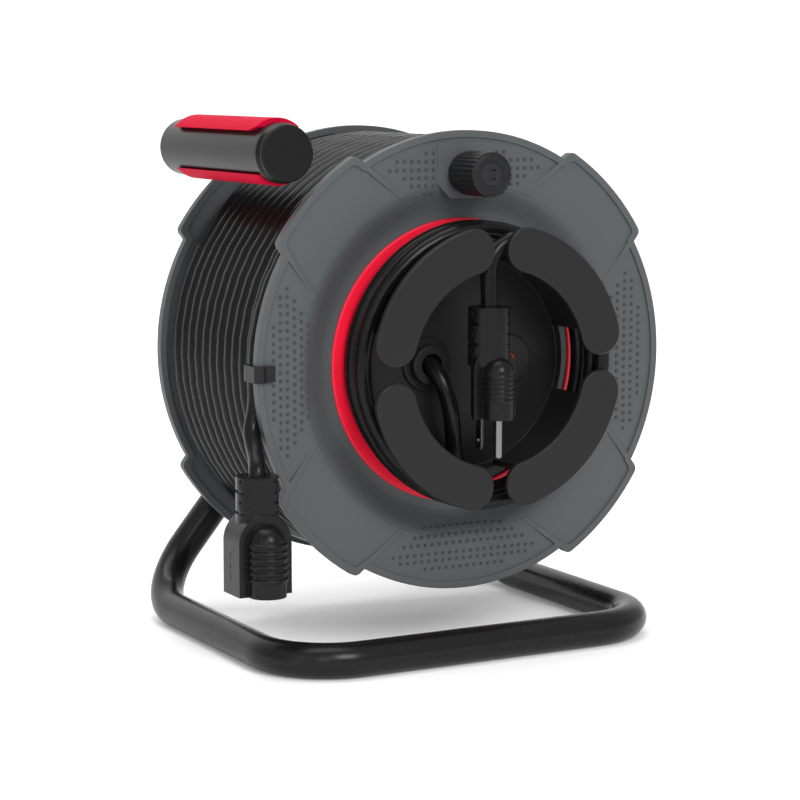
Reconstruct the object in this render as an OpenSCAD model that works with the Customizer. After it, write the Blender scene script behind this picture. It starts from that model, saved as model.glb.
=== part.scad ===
// Extension cord reel: a flanged drum of cable turning on a bent steel tube frame, with a
// carrying grip at the top left, a crank knob on the front flange and a storage cup at the hub.
// Every module draws in the drum's own frame: X to the right, Y to the rear, Z up, with the
// drum axis at x = 0, z = 0 and the front face of the front rim at y = 0.

/* [Drum] */
// Outer diameter of the flange between its lobes
flange_d = 290; // [270:1:310]
// Diameter over the four flange lobes
lobe_d = 304; // [296:1:320]
// Half width of a lobe where it meets its outer edge
lobe_half_w = 37.3; // [28:0.1:46]
// Clear width between the two flanges
drum_w = 142.2; // [120:0.2:180]
// Thickness of a flange at its rim
rim_t = 5.8; // [5:0.2:9]
// Width of the raised band round a flange
rim_w = 4.4; // [3:0.1:7]
// Thickness of the flange panels
web_t = 3.2; // [2.4:0.1:4]
// Depth from the rim face down to the panels
panel_drop = 1.3; // [0.8:0.1:1.8]
// Depth from the rim face down to the flat hub seat
hub_drop = 9.6; // [6:0.2:11]
// Diameter of the barrel that carries the cable
barrel_d = 220; // [216:1:226]
// Wall of the barrel
barrel_wall = 4; // [3:0.5:6]

/* [Hub cup] */
// Inner diameter of the storage cup
cup_d = 134; // [128:1:136]
// Wall of the cup and of its posts
cup_wall = 4; // [3:0.2:4.6]
// Thickness of the cup floor
cup_floor = 3; // [2:0.2:5]
// Distance from the rim face forward to the front of the retaining plates
cup_reach = 44.5; // [42:0.5:60]
// Angle of each window between two posts
window_angle = 35; // [28:1:40]
// Thickness of a retaining plate
plate_t = 3.5; // [2.5:0.1:4.5]
// Inner diameter of the ring of retaining plates
plate_in_d = 122; // [116:1:124]
// Outer diameter of the ring of retaining plates
plate_out_d = 178; // [168:1:180]
// Gap between two retaining plates
plate_gap = 9.5; // [6:0.5:14]
// Outer diameter of the coloured trim ring
trim_d = 180; // [176:1:182]
// Thickness of the trim ring
trim_t = 1.6; // [1:0.1:2.2]
// Width of the trim ring's face
trim_w = 8.5; // [6:0.5:12]

/* [Frame] */
// Height of the drum axis above the floor
axis_h = 183; // [176:1:240]
// Outer diameter of the frame tube
tube_d = 22; // [18:1:25]
// Wall of the frame tube
tube_wall = 1.5; // [1:0.1:3]
// Bend radius of the frame tube on its centre line
bend_r = 45; // [40:1:60]
// Bend radius behind the grip, on the centre line
grip_bend_r = 30; // [28:1:40]
// Radius of the turn down from the top run, on the centre line
turn_r = 36; // [30:1:45]
// Distance from the drum axis left to the corner of that turn
turn_left = 74; // [60:1:80]
// Distance from the drum axis left to the left floor rail
rail_left = 140.6; // [130:0.2:170]
// Distance from the drum axis right to the right floor rail
rail_right = 120.6; // [100:0.2:150]
// Distance from the rim face forward to the front floor rail
rail_front = 40; // [36:1:80]
// Clear space between the rear rim face and the frame tube
frame_gap = 19.5; // [18:0.5:30]

/* [Grip] */
// Distance of the grip left of the drum axis
grip_left = 124.5; // [122:0.5:150]
// Height of the grip above the drum axis
grip_up = 132.4; // [130:0.2:160]
// Diameter of the hard grip core
grip_d = 36.6; // [33:0.1:42]
// Length of the grip
grip_len = 155; // [130:1:160]
// Distance the grip reaches forward of the rim face
grip_front = 2; // [0:1:30]
// Height of the soft pads over the hard core
pad_rise = 1.9; // [0.4:0.1:2.4]

/* [Axle and crank] */
// Diameter of the axle
axle_d = 20; // [16:1:20]
// Running clearance between the axle and a bush, on the radius
axle_fit = 0.05; // [0.02:0.01:0.1]
// Wall of a bush
bush_wall = 3; // [2:0.5:3]
// Distance of the crank knob in from the edge of the flange
knob_in = 26.5; // [24:0.5:32]
// Diameter of the crank knob
knob_d = 28; // [22:1:32]
// Height of the crank knob above the rim face
knob_h = 32; // [26:1:45]
// Number of scallops round the crank knob
knob_scallops = 28; // [16:1:36]
// Diameter of the spigot that the knob turns on
spigot_d = 13; // [10:0.5:15]
// Running clearance between the knob and its spigot, on the radius
knob_fit = 0.05; // [0.02:0.01:0.1]

/* [Reset button and gland] */
// Distance of the breaker from the drum axis
breaker_right = 29.5; // [26:0.5:32]
// Diameter of the reset button
button_d = 9; // [8:0.5:18]
// Travel of the reset button
button_travel = 2.5; // [1:0.5:2.5]
// Distance of the supply gland from the drum axis
gland_left = 28.5; // [27:0.5:32]

/* [Cable] */
// Outer diameter of the cable
cable_d = 10.4; // [9:0.1:10.6]
// Turns of cable in the outer layer
winding_turns = 11.75; // [7.75:1:11.75]

/* [Connector and plug] */
// Width of the outlet connector body
connector_w = 34.6; // [30:0.2:44]
// Depth of the outlet connector body
connector_t = 23.4; // [18:0.2:26]
// Length of the outlet connector from its collar to its face
connector_len = 71.3; // [66:0.1:90]
// Diameter of the round collars of the plug and the connector
collar_d = 26.2; // [22:0.2:28]
// Width of the plug body
plug_w = 29.2; // [26:0.2:32]
// Depth of the plug body
plug_t = 3.2; // [2.4:0.2:6]
// Diameter of the ribbed grip bulge on the plug
plug_bulge_d = 19.2; // [15:0.2:22]
// Diameter of the ribbed grip bulge on the connector
connector_bulge_d = 23.2; // [18:0.2:26]

/* [Hidden] */
$fn = 96;

// Small clearances, and the overrun of a cut
touch = 0.05;
hair = 0.02;
gap = 0.3;
cut = 1;

// Drum, worked out
flange_r = flange_d / 2;
lobe_r = lobe_d / 2;
lobe_slope = 0.1485;
lobe_corner_r = 4.5;
lobe_angles = [45, 135, 225, 315];
rear_y = drum_w + 2 * rim_t;
web_back = panel_drop + web_t;
dish_out_r = barrel_d / 2 + 6;
dish_in_r = trim_d / 2 + 3;
dish_steps = 8;
barrel_r = barrel_d / 2;
barrel_in_r = barrel_r - barrel_wall;
barrel_seat = 8.2;
rib_w = 3.3;
rib_root = dish_in_r - 3;
rib_fade_r = dish_out_r - 3;
rib_full_r = flange_r - 10;

// Cup, worked out
cup_in_r = cup_d / 2;
cup_out_r = cup_in_r + cup_wall;
plate_in_r = plate_in_d / 2;
plate_out_r = plate_out_d / 2;
plate_mid_r = (plate_in_r + plate_out_r) / 2;
plate_end_r = (plate_out_r - plate_in_r) / 2;
plate_back = cup_reach - plate_t;
plate_end_angle = asin((plate_gap / 2 + plate_end_r) / plate_mid_r);
plate_chamfer = 0.8;
seat_in_r = cup_out_r + gap;
hub_seat_y = hub_drop;
cup_rim_t = 3;
cup_rim_r = cup_out_r + 9;
cup_rim_front = hub_drop + web_t + touch;
cup_rim_back = cup_rim_front + cup_rim_t;
hub_screw_r = cup_out_r + 5;
trim_in_r = trim_d / 2 - trim_w;
trim_front = hub_drop - trim_t;

// Barrel bulkhead and axle, worked out
seat_ring_y = cup_rim_back + touch;
seat_ring_t = 3.5;
breaker_deep = 21;
breaker_w = 22;
breaker_h = 32;
breaker_back = cup_floor + breaker_deep;
bulkhead_y = max(seat_ring_y + seat_ring_t, breaker_back + 3) + 4;
bulkhead_t = 3.5;
axle_r = axle_d / 2;
bush_in_r = axle_r + axle_fit;
bush_out_r = bush_in_r + bush_wall;
boss_r = bush_out_r + 5;
front_boss_back = bulkhead_y + 18;
rear_web_y = rear_y - hub_drop;
rear_boss_back = rear_y + 12.2;
back_y = rear_y + frame_gap + tube_d / 2;
axle_plate_t = 4;
axle_plate_r = 46;
axle_plate_back = back_y - tube_d / 2;
axle_plate_front = axle_plate_back - axle_plate_t;
axle_front = bulkhead_y - 5.4;
rear_ring_t = 4.5;
rear_screw_r = dish_in_r - 7;

// Frame, worked out
tube_r = tube_d / 2;
floor_z = -axis_h;
rail_z = floor_z + tube_r;
grip_r = grip_d / 2;
grip_back = grip_len - grip_front;
grip_wall_front = 9;
frame_start_y = grip_wall_front - grip_front;
seam_y = 60;
turn_corner = [-turn_left, back_y, grip_up];
rail_corner = [rail_right, back_y, rail_z];
leg_corner = [-rail_left, back_y, rail_z];
long_way = unit(rail_corner - turn_corner);
long_len = round(100 * norm(rail_corner - turn_corner)) / 100;
turn_angle = atan2(-long_way[2], long_way[0]);
turn_start = round(100 * turn_r * tan(turn_angle / 2)) / 100;
axis_back = [0, back_y, 0];
long_near = turn_corner + ((axis_back - turn_corner) * long_way) * long_way;
leg_way = unit(axis_back - leg_corner);
long_side = unit(long_near - axis_back);
leg_len = round(100 * ((long_near - leg_corner) * long_side) / (leg_way * long_side)) / 100;
seam_rise = 0.03;
weld_rise = 0.3;
leg_neck = 18;
neck_in = 0.25;
saddle_t = 2.5;
saddle_w = 15;
saddle_ear = 13;
saddle_bolt_r = 2.5;
saddle_out = 32;

// Crank, worked out
knob_up = flange_r - knob_in;
knob_r = knob_d / 2;
spigot_r = spigot_d / 2;
shield_top = panel_drop - 0.9;
shield_half_w = 20;
shield_low = knob_up - 16;
knob_base_y = shield_top - gap;
knob_head_deep = 3.6;
scallop_r = 0.55 * PI * knob_d / knob_scallops;
spigot_front = -(knob_h - knob_head_deep - 0.4);
knob_screw_r = 1.8;
knob_head_r = 5.4;
knob_recess_r = spigot_r + knob_fit + 0.6;
head_gap = 0.12;

// Breaker and gland, worked out
button_r = button_d / 2;
bezel_r = 16.5;
bezel_t = 3;
button_front = bezel_t + 1.2;
button_back = 0.8;
stem_r = 2.5;
stem_back = cup_floor + 9;
gland_flange_r = 17;
gland_collar_r = 12.8;
gland_bore_r = 7.2;
gland_front = 8;

// Cable, worked out
cable_r = cable_d / 2;
turn_rings = 24;
turn_sides = 6;
winding_r = flange_r - 3.5 - cable_r;
lay_gap = 0.5;
winding_first_y = rim_t + lay_gap + cable_r;
winding_pitch = (drum_w - 2 * lay_gap - cable_d) / winding_turns;
start_turn = 0.15;
start_depth = 9;
lift_turn = 0.2;
core_fill_r = (winding_r - cable_r) * cos(180 / turn_rings) - gap;
lift_r = flange_r - 4.7;
clip_w = 10;
clip_fold = 7.8;
clip_t = 1.7;

// Where the supply coil lies, as distances behind the rim face at each quarter turn,
// counted from the bottom of the hub by way of its right side
coil_lie = [-6, -8, -6, 1, -17, -23.5, -19, -11, -28.5, -35, -34.5];
coil_r = cup_out_r + 11;
coil_oval = 2.8;
coil_start = 0.05;
coil_end = 2.4333;

// Route of the lead from the gland in the cup floor out through the bottom window
supply_lead_route = [[-29, 1, 2], [-28.6, -5, 0.5], [-27.5, -10.5, -3.5], [-25.5, -15, -10],
    [-23, -17.5, -19], [-20.8, -18, -29], [-18.8, -16.8, -39], [-16.6, -14.2, -49],
    [-13.4, -11, -59], [-8.4, -8.2, -68.4], [-1.6, -6.9, -75.4], [6.2, -6.6, -80],
    [14.2, -6.6, -82.2]];
// Route of the tail from the coil in through the top window and down to the plug
supply_tail_route = [[22.4, -35, 77.4], [16, -35.2, 78.6], [9.8, -35.3, 77.8],
    [4.1, -35.3, 75], [-0.5, -35.3, 70.4], [-3.4, -35.4, 64.6], [-4.4, -35.6, 58.2],
    [-4.5, -36, 51], [-4.5, -36.5, 43], [-4.5, -36.5, 32.1]];
// Route of the outlet lead from the clip on the rim down to the connector
outlet_route = [[-140.3, 11.5, -11], [-140.3, 11.5, -16], [-140.7, 11.5, -21.5],
    [-141.8, 11.4, -27], [-143.3, 10.9, -32], [-144.7, 9, -37], [-145.3, 5.6, -42],
    [-146, 1.2, -47], [-147.3, -3.6, -51], [-148.9, -7.6, -54.6], [-149.8, -9.7, -58.4],
    [-149.9, -10, -61.6], [-149.9, -10, -65.6]];

// Plug and connector, worked out
plug_at = [-4.5, -36.5, 38];
plug_len = 68.2;
plug_arch_drop = 28;
plug_pin_forward = 11.9;
plug_plate_up = 4.6;
plug_core_w = 19;
blade_back = 11.9;
blade_half_span = 6.35;
blade_w = 6.35;
plug_core_t = blade_back + blade_w / 2 - 4.2 - plug_t + 1 + 2.4;
blade_t = 1.5;
blade_len = 19.6;
pin_r = 2.4;
pin_len = 25;
connector_at = [-149.9, -10, -59.7];
connector_arch_drop = 22;
connector_face_forward = 11.3;
bulge_forward = 2;
rib_rise = 1.1;
plug_rib_rise = 0.7;
// The collars' grooves: the first one's depth below the top, their step, width and depth
connector_slot_first = 2.2;
plug_slot_first = 3.2;
slot_step = 6.4;
slot_w = 1.7;
slot_deep = 1.5;

// The whole reel stands on its rails, centred on its own outline
reach_left = -(rail_left + tube_r);
reach_right = max(flange_r, rail_right + tube_r);
reach_front = -max(rail_front + tube_r, cup_reach);
reach_rear = back_y + tube_r + touch + saddle_t;
home = [-(reach_left + reach_right) / 2, -(reach_front + reach_rear) / 2, axis_h];

steel_black = "#1d1e20";
plastic_black = "#2b2c2e";
plastic_grey = "#5f6163";
trim_red = "#d0142e";
bright_steel = "#b9bbbd";

// ---------------------------------------------------------------- helpers

function unit(v) = v / norm(v);
function polar(r, clock) = [r * sin(clock), 0, r * cos(clock)];
function at_y(p, y) = [p[0], y, p[2]];
function ease(t) = (1 - cos(180 * t)) / 2;

// A flat outline, drawn in X and Z, from y0 back to y1
module slab(y0, y1) {
    translate([0, y1, 0]) rotate([90, 0, 0]) linear_extrude(y1 - y0) children();
}

// A profile of [radius, y] points turned round the drum axis
module turned(points) {
    rotate([-90, 0, 0]) rotate_extrude() polygon(points);
}

// A round bar or a tube from y0 back to y1 on the drum axis
module rod(r, y0, y1) {
    translate([0, y1, 0]) rotate([90, 0, 0]) cylinder(r = r, h = y1 - y0);
}

module tube(r_out, r_in, y0, y1) {
    difference() {
        rod(r_out, y0, y1);
        rod(r_in, y0 - cut, y1 + cut);
    }
}

// Children drawn along +Z are laid from point a towards point b
module along(a, b) {
    w = unit(b - a);
    u = unit(abs(w[2]) < 0.9 ? cross([0, 0, 1], w) : cross([0, 1, 0], w));
    v = cross(w, u);
    multmatrix([[u[0], v[0], w[0], a[0]], [u[1], v[1], w[1], a[1]], [u[2], v[2], w[2], a[2]],
        [0, 0, 0, 1]]) children();
}

// ---------------------------------------------------------------- swept cable

// Direction of a route at each of its points
function heading(route, i) =
    unit(route[min(i + 1, len(route) - 1)] - route[max(i - 1, 0)]);

// A side direction that stays square to the route, carried on from ring to ring
function sides_of(route, i = 0, last = [0, 1, 0], found = []) =
    i == len(route) ? found
    : let (h = heading(route, i), s = unit(last - (last * h) * h))
        sides_of(route, i + 1, s, concat(found, [s]));

// One tube of n sides and radius r along a route, with a ring at each point
module cable_along(route, r, n, first_side = [0, 1, 0]) {
    rings = len(route);
    side = sides_of(route, 0, first_side);
    points = [for (i = [0 : rings - 1]) let (h = heading(route, i), u = side[i], v = cross(h, u))
        for (k = [0 : n - 1]) route[i] + r * (cos(360 * k / n) * u + sin(360 * k / n) * v)];
    walls = [for (i = [0 : rings - 2], k = [0 : n - 1]) let (a = i * n + k,
        b = i * n + (k + 1) % n) each [[a, b, b + n], [a, b + n, a + n]]];
    caps = [for (k = [1 : n - 2]) each [[0, k + 1, k],
        [(rings - 1) * n, (rings - 1) * n + k, (rings - 1) * n + k + 1]]];
    polyhedron(points = points, faces = [for (f = concat(walls, caps)) [f[2], f[1], f[0]]]);
}

// A point of the outer layer, t turns from its start at the rear, going over the top to the
// left. It comes up out of the layer below, and its last stretch lifts out to the rim clip
function winding_point(t) =
    let (left = winding_turns - t, rise = max(0, 1 - t / start_turn),
        lift = max(0, 1 - left / lift_turn),
        r = winding_r + (lift_r - winding_r) * ease(lift) - start_depth * ease(rise),
        clock = 270 + 360 * left)
    at_y(polar(r, clock), rear_y - winding_first_y - winding_pitch * t);

winding_steps = round(winding_turns * turn_rings);
winding_path = concat(
    [for (i = [0 : winding_steps]) winding_point(i / turn_rings)],
    [at_y(polar(lift_r, 270), winding_first_y) - [0, 0, cable_d]]);

// A point of the supply coil, t turns from the bottom of the hub by way of its right side
function coil_y(t) =
    let (q = 4 * t, i = floor(q), f = ease(q - i))
    coil_lie[i] + (coil_lie[min(i + 1, len(coil_lie) - 1)] - coil_lie[i]) * f;
function coil_point(t) =
    let (r = coil_r + coil_oval * cos(720 * t) * min(1, (coil_end - t) / 0.2))
    [r * sin(360 * t), coil_y(t), -r * cos(360 * t)];
coil_steps = round((coil_end - coil_start) * turn_rings);
coil_path_bare = [for (i = [0 : coil_steps])
    coil_point(coil_start + (coil_end - coil_start) * i / coil_steps)];
coil_tail_way = unit(supply_tail_route[0] - coil_path_bare[coil_steps]);
coil_path = concat(coil_path_bare, [supply_tail_route[0]]);
// The lead runs into the coil in line with its first stretch, so that both ends meet square
coil_first_way = unit(coil_path_bare[1] - coil_path_bare[0]);
supply_lead_path = concat(supply_lead_route, [coil_path_bare[0] - 4 * coil_first_way,
    coil_path_bare[0] - touch * coil_first_way]);

// Least distance between two stretches of a path that lie more than half a turn apart
function least_apart(path, skip) =
    min([for (i = [0 : len(path) - 1], j = [i + skip : 1 : len(path) - 1])
        norm(path[i] - path[j])]);
echo(winding_least_gap = least_apart(winding_path, turn_rings / 2) - cable_d);
echo(coil_least_gap = least_apart(coil_path, turn_rings / 2) - cable_d);

// ---------------------------------------------------------------- frame

// Children drawn in a plane through corner o that holds the Y axis: X runs the given way
module in_side_plane(o, way) {
    n = cross(way, [0, 1, 0]);
    multmatrix([[way[0], 0, n[0], o[0]], [way[1], 1, n[1], o[1]], [way[2], 0, n[2], o[2]],
        [0, 0, 0, 1]]) children();
}

// A quarter bend round c in the plane, from the start angle on, and straight runs
module quarter(c, start, br, r) {
    translate(c) rotate([0, 0, start]) rotate_extrude(angle = 90) translate([br, 0])
        circle(r = r);
}

module run_x(x0, x1, y, r) {
    translate([x0, y, 0]) rotate([0, 90, 0]) cylinder(r = r, h = x1 - x0);
}

module run_y(x, y0, y1, r) {
    translate([x, y1, 0]) rotate([90, 0, 0]) cylinder(r = r, h = y1 - y0);
}

// The whole bent tube at radius r: the grip's run, the top run and its turn down, the long
// side, the leg and the floor rails. A low bead covers each seam, and the bore is closed for
// a length at the weld between the turn and the long side. The leg's end is necked a little
// where it is welded into the long side
module bent_rod(r, end_more = 0, weld = 0) {
    down = seam_y - back_y;
    turn_x = round(100 * (-turn_left - turn_start)) / 100;
    translate([0, 0, grip_up]) {
        run_y(-grip_left, frame_start_y - end_more, back_y - grip_bend_r, r);
        quarter([grip_bend_r - grip_left, back_y - grip_bend_r], 90, grip_bend_r, r);
        run_x(grip_bend_r - grip_left, turn_x, back_y, r);
    }
    multmatrix([[0, 1, 0, turn_x], [0, 0, 1, back_y], [1, 0, 0, grip_up - turn_r], [0, 0, 0, 1]])
        rotate_extrude(angle = turn_angle) translate([turn_r, 0]) circle(r = r);
    in_side_plane(turn_corner, long_way) {
        run_x(turn_start + weld, long_len - bend_r, 0, r);
        if (weld == 0) run_x(turn_start - 3, turn_start + 3, 0, r + weld_rise);
        quarter([long_len - bend_r, -bend_r], 0, bend_r, r);
        run_y(long_len, down, -bend_r, r);
        run_y(long_len, down - 1, down + 1, r + seam_rise);
    }
    in_side_plane(leg_corner, leg_way) {
        run_x(bend_r, leg_len - leg_neck, 0, r);
        run_x(leg_len - leg_neck - 1, leg_len, 0, r - neck_in);
        quarter([bend_r, -bend_r], 90, bend_r, r);
        run_y(0, down, -bend_r, r);
        run_y(0, down - 1, down + 1, r + seam_rise);
    }
    translate([0, 0, rail_z]) {
        run_y(rail_right, bend_r - rail_front, seam_y, r);
        quarter([rail_right - bend_r, bend_r - rail_front], 270, bend_r, r);
        run_x(bend_r - rail_left, rail_right - bend_r, -rail_front, r);
        quarter([bend_r - rail_left, bend_r - rail_front], 180, bend_r, r);
        run_y(-rail_left, bend_r - rail_front, seam_y, r);
    }
}

module frame_tube() color(steel_black) difference() {
    bent_rod(tube_r);
    bent_rod(tube_r - tube_wall, cut, 2);
}

module at_grip() {
    translate([-grip_left, 0, grip_up]) children();
}

module grip_core() color(plastic_black) at_grip() difference() {
    turned([[0, -grip_front + 2.2], [grip_r - 2.4, -grip_front + 2.2], [grip_r - 1.6,
        -grip_front + 3], [grip_r, -grip_front + 6.5], [grip_r, grip_back - 3],
        [grip_r - 0.9, grip_back - 0.9], [grip_r - 3, grip_back], [0, grip_back]]);
    rod(tube_r + touch, grip_wall_front - grip_front - touch, grip_back + cut);
    rod(grip_r - 6, -grip_front, -grip_front + 5);
    pad_space(pad_top_outline(0), touch);
    pad_space(pad_bottom_outline(0), touch);
}

// A band of the grip's outer skin that lies inside an outline drawn in Y and Z
module pad_band(outline, r_in, r_out) {
    intersection() {
        tube(r_out, r_in, -grip_front, grip_back);
        translate([-grip_d, 0, 0]) rotate([90, 0, 90]) linear_extrude(2 * grip_d)
            polygon(outline);
    }
}

module pad_space(outline, more) {
    pad_band(outline, grip_r - 1.6 - more, grip_r + 5);
}

pad_rear = grip_back - 23;
pad_near = 14 - grip_front;
function pad_top_outline(in) = [[pad_rear - in, grip_r * 0.73 + in], [pad_near + 7, grip_r * 0.73
    + in], [pad_near + in, grip_r * 0.86 + in], [pad_near + in, 2 * grip_r],
    [pad_rear - in, 2 * grip_r]];
function pad_bottom_outline(in) = [[pad_rear - in, -grip_r * 0.69 - in], [pad_near - 3 + 2 * in,
    -grip_r * 0.69 - in], [pad_near + in, -grip_r * 0.93 - in], [pad_near + in,
    -2 * grip_r], [pad_rear - in, -2 * grip_r]];

module grip_pad_top() color(trim_red) at_grip()
    pad_band(pad_top_outline(touch), grip_r - 1.6, grip_r + pad_rise + 1.1);

module grip_pad_bottom() color(trim_red) at_grip()
    pad_band(pad_bottom_outline(touch), grip_r - 1.6, grip_r + pad_rise - 0.4);

module grip_cap() color(plastic_black) at_grip() {
    turned([[0, -grip_front], [grip_r - 2, -grip_front], [grip_r - 1, -grip_front + 0.8],
        [grip_r - 1, -grip_front + 2.2 - touch], [0, -grip_front + 2.2 - touch]]);
    rod(grip_r - 6 - touch, -grip_front + 1, -grip_front + 5 - touch);
}

// ---------------------------------------------------------------- axle mounting

// Where the saddles sit, and the way the tube runs there
saddle_seats = [[long_near - long_way * saddle_out, long_way],
    [long_near + long_way * saddle_out, long_way]];

// Local frame of a saddle: X across the tube, Y along it, Z from the plate to the rear
module at_saddle(seat) {
    y = seat[1];
    z = [0, 1, 0];
    x = cross(y, z);
    p = seat[0];
    multmatrix([[x[0], y[0], z[0], p[0]], [x[1], y[1], z[1], p[1]], [x[2], y[2], z[2], p[2]],
        [0, 0, 0, 1]]) children();
}

saddle_in = tube_r + touch;
saddle_bolt_x = saddle_in + saddle_t + saddle_ear / 2;

module saddle_outline() difference() {
    union() {
        circle(r = saddle_in + saddle_t);
        translate([-saddle_in - saddle_t, -tube_r]) square([2 * (saddle_in + saddle_t), tube_r]);
        translate([-saddle_in - saddle_t - saddle_ear, -tube_r])
            square([2 * (saddle_in + saddle_t + saddle_ear), saddle_t]);
    }
    circle(r = saddle_in);
    translate([-saddle_in, -tube_r - cut]) square([2 * saddle_in, tube_r + cut]);
    translate([-100, -tube_r - 100]) square([200, 100]);
}

module tube_saddles() color(bright_steel) for (seat = saddle_seats) at_saddle(seat)
    difference() {
        translate([0, saddle_w / 2, 0]) rotate([90, 0, 0]) linear_extrude(saddle_w)
            saddle_outline();
        for (s = [-1, 1]) translate([s * saddle_bolt_x, 0, -tube_r - cut])
            cylinder(r = saddle_bolt_r + touch, h = saddle_t + 2 * cut);
    }

module saddle_bolts() color(bright_steel) for (seat = saddle_seats, s = [-1, 1])
    at_saddle(seat) translate([s * saddle_bolt_x, 0, 0]) {
        translate([0, 0, -tube_r + saddle_t + touch]) cylinder(r = 4.6, h = 3.5, $fn = 6);
        translate([0, 0, -tube_r - axle_plate_t - 5.4])
            cylinder(r = saddle_bolt_r, h = axle_plate_t + saddle_t + 6);
        translate([0, 0, -tube_r - axle_plate_t - touch - 3.8]) cylinder(r = 4.6, h = 3.8,
            $fn = 6);
    }

// The plate's outline in X and Z: a disc with a pad under each saddle
module axle_plate() color(steel_black) slab(axle_plate_front, axle_plate_back) difference() {
    union() {
        circle(r = axle_plate_r);
        for (seat = saddle_seats) on_plate(seat)
            square([2 * saddle_bolt_x + 16, 22], center = true);
    }
    circle(r = axle_r + touch);
    for (seat = saddle_seats, s = [-1, 1]) on_plate(seat) translate([s * saddle_bolt_x, 0])
        circle(r = saddle_bolt_r + touch);
}

module on_plate(seat) {
    way = seat[1];
    translate([seat[0][0], seat[0][2]]) rotate(atan2(way[2], way[0]) - 90) children();
}

module axle() color(bright_steel) difference() {
    rod(axle_r, axle_front, axle_plate_back);
    tube(axle_r + cut, axle_r - 1, clip_groove_y, clip_groove_y + 1.3);
}

clip_groove_y = bulkhead_y - 4;

module thrust_washer() color(bright_steel)
    tube(boss_r - 2, axle_r + touch, rear_boss_back + gap, axle_plate_front - touch);

module axle_washer() color(bright_steel)
    tube(boss_r - 2, axle_r + touch, clip_groove_y + 1.35, bulkhead_y - gap);

module axle_clip() color(bright_steel) difference() {
    tube(axle_r + 3, axle_r - 1 + touch, clip_groove_y + touch, clip_groove_y + 1.25);
    translate([-3, clip_groove_y - cut, 0]) cube([6, 4, axle_r + 5]);
}

// ---------------------------------------------------------------- flanges

// Half width of a lobe at height v up its middle line
function lobe_w(v, in) = lobe_half_w - in + (lobe_v() - v) * lobe_slope;
function lobe_v() = sqrt(pow(lobe_r, 2) - pow(lobe_half_w, 2));

// Centre of the rounding at a lobe's corner, tangent to its outer edge and its side
function corner_at(in) =
    let (rc = lobe_corner_r, k = lobe_slope, s = sqrt(1 + k * k),
        c = lobe_half_w - in + lobe_v() * k - rc * s, rr = lobe_r - in - rc,
        b = (k * c + sqrt(k * k * c * c - (1 + k * k) * (c * c - rr * rr))) / (1 + k * k))
    [c - k * b, b];

// One lobe, standing up the Z axis, drawn in by a distance
module lobe(in) {
    p = corner_at(in);
    s = sqrt(1 + lobe_slope * lobe_slope);
    side = p + lobe_corner_r * [1, lobe_slope] / s;
    top = p * (lobe_r - in) / norm(p);
    low = dish_out_r * 0.9;
    intersection() {
        circle(r = lobe_r - in);
        polygon([[-lobe_w(low, in), low], [-side[0], side[1]], [-top[0], top[1]],
            [-top[0], 2 * lobe_r], [top[0], 2 * lobe_r], top, side, [lobe_w(low, in), low]]);
    }
    for (m = [-1, 1]) translate([m * p[0], p[1]]) circle(r = lobe_corner_r - hair);
}

// The flange outline, drawn in by a distance
module flange_outline(in) {
    circle(r = flange_r - in);
    for (a = lobe_angles) rotate(-a) lobe(in);
}

function dish_y(r) =
    let (t = min(1, max(0, (dish_out_r - r) / (dish_out_r - dish_in_r))))
    panel_drop + (hub_drop - panel_drop) * ease(t);

// The dished middle, from the flat hub seat out to the panels
module dish(bore_r) {
    front = [for (i = [0 : dish_steps])
        let (r = dish_in_r + (dish_out_r - dish_in_r) * i / dish_steps) [r, dish_y(r)]];
    turned(concat([[bore_r, hub_drop]], front, [[dish_out_r + 2, panel_drop],
        [dish_out_r + 2, web_back], [barrel_r + 1, web_back], [barrel_r + 1, barrel_seat],
        [barrel_in_r - 1, barrel_seat], [dish_in_r, hub_drop + web_t],
        [bore_r, hub_drop + web_t]]));
}

// The raised ribs beside each lobe fade out towards the hub
module panel_ribs() intersection() {
    slab(0, web_back - 0.5) for (a = lobe_angles, m = [-1, 1]) rotate(-a) scale([m, 1])
        polygon([[lobe_w(rib_root, 0) - rib_w, rib_root], [lobe_w(rib_root, 0), rib_root],
            [lobe_w(lobe_v() - 4, 0), lobe_v() - 4], [lobe_w(lobe_v() - 4, 0) - rib_w,
            lobe_v() - 4]]);
    turned([[rib_fade_r, panel_drop], [rib_full_r, 0], [flange_r - 0.5, 0],
        [flange_r - 0.5, web_back - 0.5], [rib_fade_r, web_back - 0.5]]);
}

// A flange without its middle fittings, its face at y = 0 and its inside to the rear
module flange_blank(bore_r) {
    difference() {
        slab(0, rim_t) flange_outline(0);
        slab(-cut, panel_drop) flange_outline(rim_w);
        slab(web_back, rim_t + cut) flange_outline(rim_w);
        rod(dish_out_r, -cut, rim_t + cut);
    }
    dish(bore_r);
    panel_ribs();
}

module knob_shield() slab(shield_top, panel_drop + web_t - 0.5) polygon([
    [-shield_half_w, flange_r - rim_w - 3], [-shield_half_w, shield_low + 9],
    [-shield_half_w + 9, shield_low], [shield_half_w - 9, shield_low],
    [shield_half_w, shield_low + 9], [shield_half_w, flange_r - rim_w - 3]]);

module at_knob() {
    translate([0, 0, knob_up]) children();
}

module front_flange() color(plastic_grey) difference() {
    union() {
        flange_blank(seat_in_r);
        knob_shield();
        at_knob() rod(spigot_r, spigot_front, panel_drop + 1);
    }
    at_knob() rod(knob_screw_r + touch, spigot_front - cut, spigot_front + 16);
    hub_screw_places() rod(1.6, hub_drop + 1, cup_rim_front + cut);
}

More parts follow.
